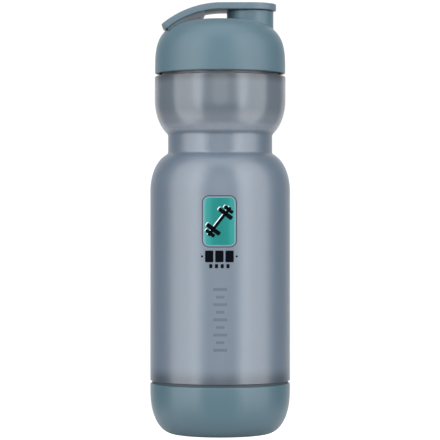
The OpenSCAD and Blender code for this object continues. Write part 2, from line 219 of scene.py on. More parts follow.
def helix_rib(wall_r, rise, start_z, steps=180):
    """Right-hand screw rib with a rounded crest, faded out at both ends."""
    width, end_rise, fade_rate = 2.3, 0.05, 12
    under = [(-0.30, -0.50), (0.0, -0.50), (0.45, -0.40), (0.85, -0.27), (1.0, -0.15)]
    section = under + [(out, -up) for out, up in under[::-1]]  # shares of the rise and of the width
    verts, faces = [], []
    count = len(section)
    for i in range(steps + 1):
        turn = TURNS * i / steps
        fade = min(1.0, turn * fade_rate + end_rise, (TURNS - turn) * fade_rate + end_rise)
        t = 2 * math.pi * turn
        for out, up in section:
            r = wall_r + rise * out * (fade if out > 0 else 1.0)
            z = start_z + PITCH * turn + up * width
            verts.append((r * math.cos(t), r * math.sin(t), z))
    for i in range(steps):
        for j in range(count):
            a, b = i * count + j, i * count + (j + 1) % count
            faces.append([a, b, b + count, a + count])
    faces.append(list(range(count)))
    faces.append(list(range(steps * count, steps * count + count)))
    return verts, faces


# ---- Blender objects ----
def mesh_of(name, solid):
    """A mesh in metres with its normals facing out."""
    verts, faces = solid
    mesh = bpy.data.meshes.new(name)
    mesh.from_pydata([(x * MM, y * MM, z * MM) for x, y, z in verts], [], faces)
    shape = bmesh.new()
    shape.from_mesh(mesh)
    bmesh.ops.recalc_face_normals(shape, faces=shape.faces)
    shape.to_mesh(mesh)
    shape.free()
    return mesh


def placed(name, mesh):
    """A new object in the scene. Its place is in its mesh."""
    obj = bpy.data.objects.new(name, mesh)
    bpy.context.scene.collection.objects.link(obj)
    return obj


def carved(solid, cutters):
    """The solid with every cutter taken out of it, back in millimetres."""
    base = placed("carve_base", mesh_of("carve_base", solid))
    tools = []
    for cutter in cutters:
        tool = placed("carve_tool", mesh_of("carve_tool", cutter))
        tools.append(tool)
        cut = base.modifiers.new("cut", "BOOLEAN")
        cut.object, cut.operation, cut.solver = tool, "DIFFERENCE", "EXACT"
    view = bpy.context.evaluated_depsgraph_get()
    result = bpy.data.meshes.new_from_object(base.evaluated_get(view))
    verts = [tuple(c / MM for c in v.co) for v in result.vertices]
    faces = [list(p.vertices) for p in result.polygons]
    for obj in [base] + tools:
        bpy.data.objects.remove(obj)
    return verts, faces


def piece(name, mesh, material, body, nodes, sharp_deg=35.0):
    """Finish one visible piece: smooth shading, material, body, CAD nodes and material slot."""
    obj = placed(name, mesh)
    mesh.materials.append(material)
    mesh.polygons.foreach_set("use_smooth", [True] * len(mesh.polygons))
    mesh.set_sharp_from_angle(angle=math.radians(sharp_deg))
    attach(obj, body)
    if nodes:
        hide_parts(*nodes)
    return obj


# ---- Materials ----
def node_in(tree, kind, **values):
    """A new node with these values on its input sockets."""
    node = tree.nodes.new(kind)
    for socket, value in values.items():
        node.inputs[socket].default_value = value
    return node


class Surface:
    """A Principled material with fine grain, slow unevenness and a matching bump."""

    def __init__(self, name, colour, roughness, vary=0.04, grain=3500.0, bump=0.05, wave=60.0,
                 wave_bump=0.0, rough_vary=0.06, **sockets):
        self.material = bpy.data.materials.new(name)
        self.material.use_nodes = True
        self.tree = self.material.node_tree
        self.shader = self.tree.nodes["Principled BSDF"]
        place = self.node("ShaderNodeTexCoord")
        slow = self.node("ShaderNodeTexNoise", Scale=wave, Detail=3.0, Roughness=0.5)
        fine = self.node("ShaderNodeTexNoise", Scale=grain, Detail=2.0, Roughness=0.6)
        self.link(place, "Object", slow, "Vector")
        self.link(place, "Object", fine, "Vector")
        tint = self.node("ShaderNodeMapRange", **{
            "From Min": 0.3, "From Max": 0.7, "To Min": 1 - vary, "To Max": 1 + vary})
        self.link(slow, "Fac", tint, "Value")
        scale = self.node("ShaderNodeVectorMath")
        scale.operation = "SCALE"
        scale.inputs["Vector"].default_value = colour
        self.link(tint, "Result", scale, "Scale")
        self.link(scale, "Vector", self.shader, "Base Color")
        self.tinted, self.fine = scale, fine
        rough = self.node("ShaderNodeMapRange", **{
            "To Min": roughness - rough_vary, "To Max": roughness + rough_vary})
        self.link(fine, "Fac", rough, "Value")
        self.link(rough, "Result", self.shader, "Roughness")
        ripple = self.node("ShaderNodeBump", Strength=wave_bump, Distance=0.002)
        self.link(slow, "Fac", ripple, "Height")
        tooth = self.node("ShaderNodeBump", Strength=bump, Distance=0.0002)
        self.link(fine, "Fac", tooth, "Height")
        self.link(ripple, "Normal", tooth, "Normal")
        self.link(tooth, "Normal", self.shader, "Normal")
        for socket, value in sockets.items():
            self.shader.inputs[socket.replace("_", " ")].default_value = value

    def along(self, axis, stops):
        """A ramp along an axis, mirrored at 0: stops are (distance in mm, (r, g, b, alpha))."""
        top = stops[-1][0]
        place = self.node("ShaderNodeTexCoord")
        split = self.node("ShaderNodeSeparateXYZ")
        size = self.node("ShaderNodeMath")
        size.operation = "ABSOLUTE"
        reach = self.node("ShaderNodeMapRange", **{"From Max": top * MM})
        ramp = self.node("ShaderNodeValToRGB")
        ramp.color_ramp.interpolation = "EASE"
        marks = ramp.color_ramp.elements
        while len(marks) < len(stops):
            marks.new(0.5)
        for mark, (z, value) in zip(marks, stops):
            mark.position = z / top
            mark.color = value
        self.link(place, "Object", split, "Vector")
        self.link(split, axis, size, 0)
        self.link(size, "Value", reach, "Value")
        self.link(reach, "Result", ramp, "Fac")
        return ramp

    def tinted_along(self, axis, stops):
        """Tint by distance along an axis: stops are (distance in mm, colour)."""
        ramp = self.along(axis, [(at, (*colour, 1.0)) for at, colour in stops])
        self.link(ramp, "Color", self.tinted, 0)
        return self

    def banded(self, stops, spread=0.04):
        """Tint, roughness and gloss by height: stops are (height in mm, colour, roughness, gloss)."""
        bands = self.along("Z", [(z, (*colour, roughness)) for z, colour, roughness, _ in stops])
        shine = self.along("Z", [(z, (gloss, gloss, gloss, 1.0)) for z, _, _, gloss in stops])
        self.link(bands, "Color", self.tinted, 0)
        self.link(shine, "Color", self.shader, "Specular Tint")
        grain = self.node("ShaderNodeMath")
        grain.operation = "MULTIPLY_ADD"
        grain.inputs[1].default_value = spread
        self.link(self.fine, "Fac", grain, 0)
        self.link(bands, "Alpha", grain, 2)
        self.link(grain, "Value", self.shader, "Roughness")
        return self

    def node(self, kind, **values):
        return node_in(self.tree, kind, **values)

    def link(self, a, out, b, into):
        self.tree.links.new(a.outputs[out], b.inputs[into])


# The bowl's tint is a greyer tone than the barrel's with painted shade in it: a little darker all round
# the bowl.
BARREL_TINT, BOWL_TONE_AND_SHADE = (0.088, 0.116, 0.153), (0.092, 0.112, 0.136)
# Painted light: the crease above the waist and the low bowl are much lighter than the barrel, as if lit
# from below.
CREASE_PAINTED_LIGHT, LOW_BOWL_PAINTED_LIGHT = (0.188, 0.215, 0.253), (0.136, 0.156, 0.184)
# Painted shade: the neck seen in the seam gap under the lid is greyer and darker than the barrel, set
# for how dark the gap looks.
NECK_GAP_SHADE = (0.085, 0.100, 0.120)
# Painted shade: a dark band on the bowl just under the lid's seam, and on the lower neck and the
# barrel's foot just above the cup's seam.
TOP_SEAM_SHADE, LOW_SEAM_SHADE = (0.044, 0.048, 0.060), (0.039, 0.053, 0.073)
# The body's bands by height: the barrel's own tint, painted light above the waist, and painted shade at
# both seams, in the seam gap and a little on the bowl.
FROSTED = Surface("frosted_body", BARREL_TINT, 0.36, vary=0.02, bump=0.06, wave=45.0, wave_bump=0.02,
                  Subsurface_Weight=0.20, Subsurface_Scale=0.002, Specular_IOR_Level=1.0).banded([
                      (0.0, LOW_SEAM_SHADE, 0.28, 1.0), (29.5, LOW_SEAM_SHADE, 0.28, 1.0),
                      (37.0, BARREL_TINT, 0.32, 1.0), (WAIST_HIGH, BARREL_TINT, 0.32, 1.0),
                      (WAIST_HIGH + 2.0, CREASE_PAINTED_LIGHT, 0.26, 0.9),
                      (WAIST_HIGH + 3.5, CREASE_PAINTED_LIGHT, 0.24, 0.8), (165.0, LOW_BOWL_PAINTED_LIGHT, 0.22, 0.75),
                      (172.0, BOWL_TONE_AND_SHADE, 0.18, 0.67), (184.0, BOWL_TONE_AND_SHADE, 0.18, 0.67),
                      (BODY_HIGH - 0.2, TOP_SEAM_SHADE, 0.20, 0.70),
                      (BODY_HIGH + 0.1, NECK_GAP_SHADE, 0.30, 0.80), (TOP_NECK_Z, NECK_GAP_SHADE, 0.30, 0.80)
                  ]).material
LID_PLASTIC = Surface("lid_plastic", (0.056, 0.106, 0.134), 0.42, vary=0.02, bump=0.10,
                      Sheen_Weight=0.10, Sheen_Roughness=0.4).material
STRAP_PLASTIC = Surface("strap_plastic", (0.088, 0.129, 0.160), 0.40, vary=0.02, bump=0.10,
                        Specular_IOR_Level=0.4).material
CUP_PLASTIC = Surface("cup_plastic", (0.054, 0.101, 0.127), 0.33, vary=0.02, bump=0.10,
                      Specular_IOR_Level=0.5).material
SILICONE = Surface("clear_silicone", (0.26, 0.29, 0.31), 0.42, vary=0.02, bump=0.03,
                   Subsurface_Weight=0.15, Subsurface_Scale=0.001,
                   Subsurface_Radius=(1.0, 0.9, 0.8)).material
DARK_RUBBER = Surface("dark_rubber", (0.030, 0.043, 0.053), 0.55, bump=0.05).material
STEEL = Surface("pin_steel", (0.60, 0.61, 0.62), 0.28, vary=0.05, grain=9000.0, bump=0.05,
                Metallic=1.0).material
# The badge's teal is its print; the ramp along x, darkest in the middle and lighter towards the sides
# where the side lamps fall, is painted light.
TEAL_INK_AND_SIDE_LIGHT = Surface("badge_colour", (0.010, 0.200, 0.175), 0.42, vary=0.05, bump=0.04,
                   Specular_IOR_Level=0.2).tinted_along("X", [
                       (0.0, (0.004, 0.142, 0.130)), (3.0, (0.005, 0.150, 0.136)),
                       (6.5, (0.018, 0.195, 0.182)), (8.5, (0.070, 0.240, 0.240))]).material
DARK_INK = Surface("dark_ink", (0.0016, 0.0022, 0.0042), 0.55, vary=0.1, bump=0.04,
                   Specular_IOR_Level=0.02).material
LIGHT_INK = Surface("light_ink", (0.62, 0.70, 0.69), 0.40, vary=0.03, bump=0.04,
                    Specular_IOR_Level=0.2).material
RIM_INK = Surface("rim_ink", (0.140, 0.290, 0.300), 0.42, vary=0.05, bump=0.04,
                  Specular_IOR_Level=0.3).material
LINE_INK = Surface("line_ink", (0.022, 0.028, 0.042), 0.50, vary=0.05, bump=0.04,
                   Specular_IOR_Level=0.1).material
GREY_INK = Surface("grey_ink", (0.080, 0.108, 0.132), 0.42, vary=0.05, bump=0.04,
                   Specular_IOR_Level=0.35).material
# Painted shade: the wedge under the strap is darker and greyer than the strap to stand for the shade
# beneath it, with less of it towards the hinge end.
WEDGE_PAINTED_SHADE = Surface("strap_underside_painted_shade", (0.066, 0.080, 0.092), 0.42, vary=0.02, bump=0.10,
                        Specular_IOR_Level=0.4).tinted_along("X", [
                            (0.0, (0.066, 0.076, 0.088)), (15.0, (0.066, 0.076, 0.088)),
                            (22.0, (0.080, 0.108, 0.126))]).material


# ---- Body ----
def shoulder(wall):
    """The barrel's curve up to the waist, wall deep in the plastic."""
    cx, a = BODY_R - SHOULDER_A, SHOULDER_A - wall
    b = (WAIST_LOW - SHOULDER_Z) / share_at(cx, SHOULDER_A, SHOULDER_N, WAIST_R)
    return super_arc(cx, SHOULDER_Z, a, b - wall, SHOULDER_N,
                     share_at(cx, a, SHOULDER_N, WAIST_R - wall))


def bowl(wall):
    """The bowl's curve up from the waist, wall deep in the plastic."""
    cx, a = BOWL_R - BOWL_A, BOWL_A - wall
    b = (BOWL_Z - WAIST_HIGH) / share_at(cx, BOWL_A, BOWL_N, WAIST_R)
    return super_arc(cx, BOWL_Z, a, wall - b, BOWL_N, share_at(cx, a, BOWL_N, WAIST_R - wall))[::-1]


def body_floor(low_in):
    """The pushed-up floor: its underside from the middle out, and its top from the neck back in."""
    floor_a, floor_rise, floor_t = 26.0, 3.0, 1.6
    turns = [math.pi / 2 * i / 16 for i in range(16)]
    under = [(floor_a * math.sin(t), LOW_NECK_Z + floor_rise * math.cos(t)) for t in turns]
    over = [((floor_a - floor_t) * math.sin(t), LOW_NECK_Z + floor_t + floor_rise * math.cos(t))
            for t in turns[::-1]]
    return under, [(low_in, LOW_NECK_Z + floor_t)] + over


def body_solid():
    """The body turned from one profile, with the screw rib on each neck."""
    collar_low, collar_z, ledge, flare_h, flare_share = 26.1, 26.4, 1.6, 5, 0.99
    in_waist_low, in_waist_high = 147.3, 159.2
    low_in, top_in = LOW_NECK_R - NECK_WALL, TOP_NECK_R - NECK_WALL
    under, over = body_floor(low_in)
    barrel = [(BODY_R, BODY_LOW + 4.0 + 9.0 * i) for i in range(11)]
    waist = [(WAIST_R, WAIST_LOW + i) for i in range(1, 10)]
    outer = under + [(LOW_NECK_R, LOW_NECK_Z), (LOW_NECK_R, collar_low), (LOW_COLLAR_R, collar_z),
                     (LOW_COLLAR_R, BODY_LOW), (BODY_R, BODY_LOW)]
    outer += barrel + shoulder(0) + waist + bowl(0)
    outer += [(BOWL_R, BODY_HIGH), (TOP_NECK_R, BODY_HIGH), (TOP_NECK_R, TOP_NECK_Z)]
    flare_top = super_arc(top_in, BODY_HIGH - ledge - flare_h, BOWL_R - WALL - top_in, flare_h, 2,
                          flare_share)[::-1]
    flare_low = super_arc(low_in, BODY_LOW + ledge + flare_h, BODY_R - WALL - low_in, -flare_h, 2,
                          flare_share)
    inner = [(top_in, TOP_NECK_Z)] + flare_top + bowl(WALL)[::-1] + shoulder(WALL)[::-1]
    path = soften_all(outer + inner + flare_low + over, [
        ((LOW_NECK_R, LOW_NECK_Z), 1.4), ((BODY_R, BODY_LOW), 0.15), ((BOWL_R, BODY_HIGH), 0.9),
        ((WAIST_R, WAIST_LOW), 1.1), ((WAIST_R, WAIST_HIGH), 1.1),
        ((WAIST_R - WALL, in_waist_low), 1.5), ((WAIST_R - WALL, in_waist_high), 1.5),
        ((TOP_NECK_R, BODY_HIGH), 0.5), ((TOP_NECK_R, TOP_NECK_Z), 0.6), ((top_in, TOP_NECK_Z), 0.6),
        ((LOW_COLLAR_R, BODY_LOW), 0.4), (over[0], 1.4)])
    return joined(turned(path), helix_rib(TOP_NECK_R, RIB, TOP_THREAD_Z),
                  helix_rib(LOW_NECK_R, RIB, LOW_THREAD_Z))


piece("body_shell", mesh_of("body_shell", body_solid()), FROSTED, "bottle", ["bottle_body"])


# ---- Lid ----
def dome_path(wall=0.0, steps=72):
    """Dome profile from its pole down to the skirt."""
    return super_arc(0, DOME_Z, LID_R - wall, DOME_TOP - DOME_Z - wall, DOME_N, 1.0, steps)[::-1]


def cylinder(r, z0, z1, axis_x=0.0, around=48):
    """A plain upright cylinder to cut with."""
    return turned([(0, z0), (r, z0), (r, z1), (0, z1)], axis_x, around)


def lid_solid():
    """Skirt and dome in one wall, open where the spout, the vent and the hinge need it."""
    inner_r, saddle_half = LID_R - LID_WALL, 14.4
    ceiling = [p for p in dome_path(LID_WALL) if p[1] > LEDGE_TOP + 0.3][::-1]
    path = dome_path() + [(LID_R, LID_LOW), (inner_r, LID_LOW), (inner_r, SEAL_Z), (SKIRT_R, SEAL_Z),
                          (SKIRT_R, SKIRT_Z), (SKIRT_IN_R, SKIRT_Z), (SKIRT_IN_R, LEDGE_TOP),
                          (ceiling[0][0], LEDGE_TOP)] + ceiling
    path = soften_all(path, [((LID_R, LID_LOW), 0.6), ((inner_r, LID_LOW), 0.4),
                             ((SKIRT_R, SKIRT_Z), 0.4), ((SKIRT_IN_R, SKIRT_Z), 0.4)])
    saddle = along_y(cylinder(SADDLE_R, -saddle_half, saddle_half, around=64), HINGE_X, HINGE_Z)
    bore = cylinder(BORE_R, LEDGE_TOP, SPOUT_TOP + 2.5, SPOUT_X, 128)
    vent = cylinder(VENT_R, DOME_TOP - 5.3, DOME_TOP + 2.7, VENT_X, 32)
    return carved(turned(path), [saddle, bore, vent])


def spout_solid():
    """The spout's tube with a rounded lip, cut off where it meets the inside of the dome."""
    root_z, under_z, sink = 207.0, 200.0, 1.0
    path = soften_all([(BORE_R, root_z), (SPOUT_R, root_z), (SPOUT_R, SPOUT_TOP), (BORE_R, SPOUT_TOP)],
                      [((SPOUT_R, SPOUT_TOP), 0.45), ((BORE_R, SPOUT_TOP), 0.6)])
    tube = turned(path, SPOUT_X, 144, ring=True)
    inside = turned([(0, under_z), (LID_R - sink, under_z)] + dome_path(sink)[::-1], around=128)
    return carved(tube, [inside])


def spout_fillet(reach=0.9, around=144, steps=6):
    """A smooth moulded fillet where the spout rises out of the dome."""
    sink, lap, heel, heel_drop = 0.015, 0.01, 0.8, 0.4  # how far it sits inside dome and spout
    verts, faces = [], []
    for k in range(around):
        t = 2 * math.pi * k / around
        cos_t, sin_t = math.cos(t), math.sin(t)

        def on_dome(r):
            x, y = SPOUT_X + r * cos_t, r * sin_t
            return Vector((x, y, dome_height(math.hypot(x, y)) - sink))

        foot, corner = on_dome(SPOUT_R + reach), on_dome(SPOUT_R - lap)
        top = corner + Vector((0, 0, reach))
        for i in range(steps + 1):
            u = i / steps
            verts.append(tuple(foot * (1 - u) ** 2 + corner * (2 * u * (1 - u)) + top * u * u))
        verts.append(tuple(on_dome(SPOUT_R - heel) - Vector((0, 0, heel_drop))))
    row = steps + 2
    for k in range(around):
        n = (k + 1) % around
        for i in range(row):
            j = (i + 1) % row
            faces.append([k * row + i, k * row + j, n * row + j, n * row + i])
    return verts, faces


def in_strap_frame(s, n):
    """A point in the hinge's own directions: s along the strap's end, n out of it."""
    return (HINGE_X + s * math.cos(HINGE_LEAN) - n * math.sin(HINGE_LEAN),
            HINGE_Z + s * math.sin(HINGE_LEAN) + n * math.cos(HINGE_LEAN))


def ear_solid(y):
    """One hinge ear: a round eye on a root that goes into the dome's wall."""
    eye = [(EAR_R * math.cos(a), EAR_R * math.sin(a)) for a in [math.pi * i / 24 for i in range(25)]]
    outline = [in_strap_frame(s, n) for s, n in eye + [(-EAR_R, -EAR_ROOT), (EAR_R, -EAR_ROOT)]]
    return prism(outline, y - EAR_W / 2, y + EAR_W / 2)


def vent_seat():
    """The raised ring round the vent hole."""
    root_z = 217.5
    path = soften_all([(VENT_R, root_z), (VENT_SEAT_R, root_z), (VENT_SEAT_R, VENT_SEAT_TOP),
                       (VENT_R, VENT_SEAT_TOP)], [((VENT_SEAT_R, VENT_SEAT_TOP), 0.3)])
    return turned(path, VENT_X, 48, ring=True)


lid_mesh = mesh_of("lid_shell", joined(
    lid_solid(), spout_solid(), spout_fillet(), ear_solid(-EAR_Y), ear_solid(EAR_Y), vent_seat(),
    helix_rib(LID_R - LID_WALL, -RIB, TOP_THREAD_Z + PITCH / 2)))
piece("lid_shell", lid_mesh, LID_PLASTIC, "lid", ["lid_dome"])

pin_path = soften_all([(0, PIN_FRONT), (PIN_R, PIN_FRONT), (PIN_R, PIN_BACK), (0, PIN_BACK)],
                      [((PIN_R, PIN_FRONT), 0.25), ((PIN_R, PIN_BACK), 0.25)])
piece("hinge_pin_turned", mesh_of("hinge_pin_turned", along_y(turned(pin_path, around=48),
      HINGE_X, HINGE_Z)), STEEL, "lid", ["hinge_pin"])


# ---- Sealing rings ----
def ring_section(r0, r1, z0, z1, reach=0.4):
    """A ring's section, rounded at all corners but the hidden one at r0, z0."""
    round_corners = [(r1, z0), (r1, z1), (r0, z1)]
    path = [((r0 + r1) / 2, z0)] + round_corners + [(r0, z0)]
    return soften_all(path, [(corner, reach) for corner in round_corners])


LID_RING = turned(ring_section(LID_RING_IN_R, LID_RING_R, LID_RING_LOW, LID_RING_TOP), ring=True)
CUP_RING = turned(ring_section(CUP_RING_IN_R, CUP_RING_R, CUP_RING_LOW, CUP_RING_TOP), ring=True)
piece("lid_ring", mesh_of("lid_ring", LID_RING), SILICONE, "lid_lift", ["lid_gasket"])
piece("cup_ring", mesh_of("cup_ring", CUP_RING), DARK_RUBBER, "cup_drop", ["cup_gasket"])


# ---- Strap ----
def on_strap(s, y, n):
    """A point s along the strap from the start of its bend, y across and n out from mid-thickness."""
    if s >= 0:
        return BEND_X + s, y, STRAP_TOP - STRAP_T / 2 + n
    r = BEND_R - STRAP_T / 2
    a = -s / r
    return BEND_X - (r + n) * math.sin(a), y, BEND_Z + (r + n) * math.cos(a)


def strap_slab():
    """The arched plate: square at the hinge, round at the spout, with all its edges rounded."""
    half, edge, corner = (STRAP_BACK - STRAP_FRONT) / 2, 0.45, STRAP_CORNER
    s_low = -(BEND_R - STRAP_T / 2) * math.radians(BEND_DEG)
    s_round = SPOUT_X - 0.2 - BEND_X  # where the round end begins

    def outline(inset):
        """One half of the plate's outline, from the hinge end's corner to the spout end's tip."""
        corner_steps, side_steps, tip_steps = 6, 60, 32
        line = []
        for i in range(corner_steps + 1):
            a = math.pi / 2 * i / corner_steps
            line.append((s_low + corner - (corner - inset) * math.cos(a),
                         half - corner + (corner - inset) * math.sin(a)))
        for i in range(1, side_steps):
            along = i / side_steps
            line.append((s_low + corner + (s_round - s_low - corner) * along, half - inset))
        for i in range(tip_steps + 1):
            a = math.pi / 2 * (1 - i / tip_steps)
            line.append((s_round + (half - inset) * math.cos(a), (half - inset) * math.sin(a)))
        return line

    top = STRAP_T / 2
    edge_steps = 5
    rounding = [math.pi / 2 * i / edge_steps for i in range(edge_steps + 1)]
    levels = [(-top + edge - edge * math.cos(a), edge - edge * math.sin(a)) for a in rounding]
    levels += [(top - edge + edge * math.sin(a), edge - edge * math.cos(a)) for a in rounding]
    verts, faces, rows = [], [], []
    for n, inset in levels:
        line = outline(inset)
        loop = [(s, h) for s, h in line] + [(s, -h) for s, h in line[-2::-1]]
        rows.append(list(range(len(verts), len(verts) + len(loop))))
        verts += [on_strap(s, y, n) for s, y in loop]
    count = len(rows[0])
    for low, high in zip(rows, rows[1:]):
        for k in range(count):
            m = (k + 1) % count
            faces.append([low[k], low[m], high[m], high[k]])
    for row in (rows[0], rows[-1]):
        for i in range(count // 2):
            a, b, c, d = row[i], row[i + 1], row[-2 - i], row[-1 - i]
            faces.append([a, b, c, d] if b != c else [a, b, d])
    return verts, faces


def pad_pocket(top):
    """The pocket that holds the vent pad, up to a given height."""
    return cylinder(2.6, 212, top, VENT_X)


def strap_cutters():
    """Slots for the ears, a relief over the dome, the pin's hole and the vent pad's pocket."""
    slot_reach, slot_depth, slot_half = 2.3, 4, EAR_W / 2 + 0.25
    relief_reach, relief_low, relief_high, relief_half = 8, -7.2, -1.2, 8.5
    past = -4  # beyond the strap's end face
    slot = [in_strap_frame(s, n) for s, n in ((past, -slot_depth), (slot_reach, -slot_depth),
                                              (slot_reach, slot_depth), (past, slot_depth))]
    relief = [in_strap_frame(s, n) for s, n in ((past, relief_low), (relief_reach, relief_low),
                                                (relief_reach, relief_high), (past, relief_high))]
    hole = along_y(cylinder(PIN_HOLE_R, PIN_FRONT - 0.2, PIN_BACK + 1.4, around=40), HINGE_X, HINGE_Z)
    slots = [prism(slot, y - slot_half, y + slot_half) for y in (-EAR_Y, EAR_Y)]
    return slots + [prism(relief, -relief_half, relief_half), hole, pad_pocket(PAD_TOP + 0.05)]


def wedge_slab(left_x, y0, y1):
    """A slab between strap and dome, with its sloped right end; the dome is carved off it later."""
    right_x, foot_x, floor_z, overlap, steps = -7.8, -9.8, 208.0, 0.5, 17
    roof_r = BEND_R - STRAP_T + overlap
    roof = []
    for i in range(steps + 1):
        x = right_x + (left_x - right_x) * i / steps
        roof.append((x, BEND_Z + math.sqrt(roof_r ** 2 - (x - BEND_X) ** 2)))
    outline = [(left_x, floor_z), (foot_x, floor_z), (foot_x, DOME_TOP + 0.2)] + roof
    return prism(outline, y0, y1)


def wedge():
    """The block over the vent hole and the two webs under the strap's edges."""
    gap, block_left, block_half = 0.12, -20.5, 9.0
    web_left, web_in, web_out = -27.4, 10.4, 13.0
    grown = super_arc(0, DOME_Z, LID_R + gap, DOME_TOP - DOME_Z + gap, DOME_N, 1.0, 60)
    dome = turned([(0, DOME_Z)] + grown, around=128)
    block = carved(wedge_slab(block_left, -block_half, block_half), [dome, pad_pocket(PAD_TOP + 0.15)])
    webs = [carved(wedge_slab(web_left, y0, y1), [dome])
            for y0, y1 in ((-web_out, -web_in), (web_in, web_out))]
    return joined(block, *webs)


def boss_solid():
    """The round boss under the strap that the plug is pressed over, with a lip to hold it."""
    low = STRAP_TOP - STRAP_T - 3.2
    lip_r, neck_r, lip_h, height = 7.5, 6.5, 1.2, 3.7
    path = [(0, low), (lip_r, low), (lip_r, low + lip_h), (neck_r, low + lip_h),
            (neck_r, low + height), (0, low + height)]
    return turned(soften_all(path, [((lip_r, low), 0.3), ((lip_r, low + lip_h), 0.3)]), SPOUT_X, 96)


strap_mesh = mesh_of("strap_arch", joined(carved(strap_slab(), strap_cutters()), boss_solid()))
piece("strap_arch", strap_mesh, STRAP_PLASTIC, "strap", ["flip_strap"])
# The wedge's darker, greyer colour is painted shade under the strap.
piece("strap_wedge", mesh_of("strap_wedge", wedge()), WEDGE_PAINTED_SHADE, "strap", [])


def plug_solid():
    """The plug: a skirt with one sealing bead, and a socket that takes the boss and its lip."""
    top = STRAP_TOP - STRAP_T
    low, roof = top - 4.6, top - 0.03
    tip_r, bead_r, side_r, socket_r, lip_r = 9.5, 10.3, 10.1, 6.55, 7.55
    bead = [(9.55, low + 1.6), (side_r, low + 1.75), (bead_r, low + 2.2), (side_r, low + 2.65),
            (10.05, low + 2.9)]
    socket = [(socket_r, roof), (socket_r, top - 1.9), (lip_r, top - 1.95), (lip_r, top - 3.25),
              (0, top - 3.25)]
    path = [(0, low), (tip_r, low)] + bead + [(10.2, roof)] + socket
    return turned(soften_all(path, [((tip_r, low), 0.7)]), SPOUT_X, 128)


piece("spout_plug_soft", mesh_of("spout_plug_soft", plug_solid()), SILICONE, "strap",
      ["spout_plug"])
PAD_R = PAD_RIGHT - VENT_X
pad_path = soften_all([(0, PAD_LOW), (PAD_R, PAD_LOW), (PAD_R, PAD_TOP), (0, PAD_TOP)],
                      [((PAD_R, PAD_LOW), 0.3), ((PAD_R, PAD_TOP), 0.3)])
piece("vent_pad_soft", mesh_of("vent_pad_soft", turned(pad_path, VENT_X, 64)), SILICONE, "strap",
      ["vent_pad"])


# ---- Storage cup ----
def cup_curve(wall, floor_z):
    """The cup's round side from its floor up, wall deep in the plastic."""
    return super_arc(CUP_FOOT_R, CUP_CURVE_Z, CUP_R - CUP_FOOT_R - wall,
                     floor_z - CUP_CURVE_Z, CUP_N, 1.0, 60)[::-1]


def cup_solid():
    """The cup with a shallow recess under it, a seat for its ring and a screw rib inside."""
    recess_z, recess_r, foot_in_r, floor_z, mid_r = 0.8, 19.2, 20.0, 2.0, 10.0
    inner_r, seat_z = CUP_R - CUP_WALL, CUP_TOP - 0.8
    seat_r = inner_r + 1.2
    path = [(0, recess_z), (mid_r, recess_z), (recess_r, recess_z), (foot_in_r, CUP_FOOT_Z)]
    path += cup_curve(0, CUP_FOOT_Z)
    path += [(CUP_R, CUP_TOP), (seat_r, CUP_TOP), (seat_r, seat_z), (inner_r, seat_z)]
    path += cup_curve(CUP_WALL, floor_z)[::-1] + [(mid_r, floor_z), (0, floor_z)]
    path = soften_all(path, [((foot_in_r, CUP_FOOT_Z), 0.5), ((CUP_R, CUP_TOP), 0.9),
                             ((seat_r, CUP_TOP), 0.3)])
    return joined(turned(path), helix_rib(inner_r, -RIB, LOW_THREAD_Z - PITCH / 2))


piece("cup_turned", mesh_of("cup_turned", cup_solid()), CUP_PLASTIC, "cup", ["storage_cup"])


# ---- Print on the barrel ----
PRINT_Z = (BADGE_LOW + BADGE_TOP) / 2
PRINT_SHIFT = (BADGE_LEFT + BADGE_RIGHT) / 2
BADGE_W, BADGE_H, BADGE_R = BADGE_RIGHT - BADGE_LEFT, BADGE_TOP - BADGE_LOW, 2.6


def rounded_rect(w, h, r, cx=0.0, cz=0.0, steps=8):
    """A rectangle's outline round cx, cz, with corners of radius r."""
    points = []
    for x, z, start in ((1, 1, 0), (-1, 1, 90), (-1, -1, 180), (1, -1, 270)):
        for i in range(steps + 1):
            a = math.radians(start + 90 * i / steps)
            points.append((cx + x * (w / 2 - r) + r * math.cos(a),
                           cz + z * (h / 2 - r) + r * math.sin(a)))
    return points


def spun(points, degrees, cx=0.0, cz=0.0):
    """An outline turned about the origin and then moved to cx, cz."""
    a = math.radians(degrees)
    return [(cx + x * math.cos(a) - z * math.sin(a), cz + x * math.sin(a) + z * math.cos(a))
            for x, z in points]


def disc(r, cx, cz, steps=20):
    """A circle's outline round cx, cz."""
    return [(cx + r * math.cos(2 * math.pi * i / steps), cz + r * math.sin(2 * math.pi * i / steps))
            for i in range(steps)]


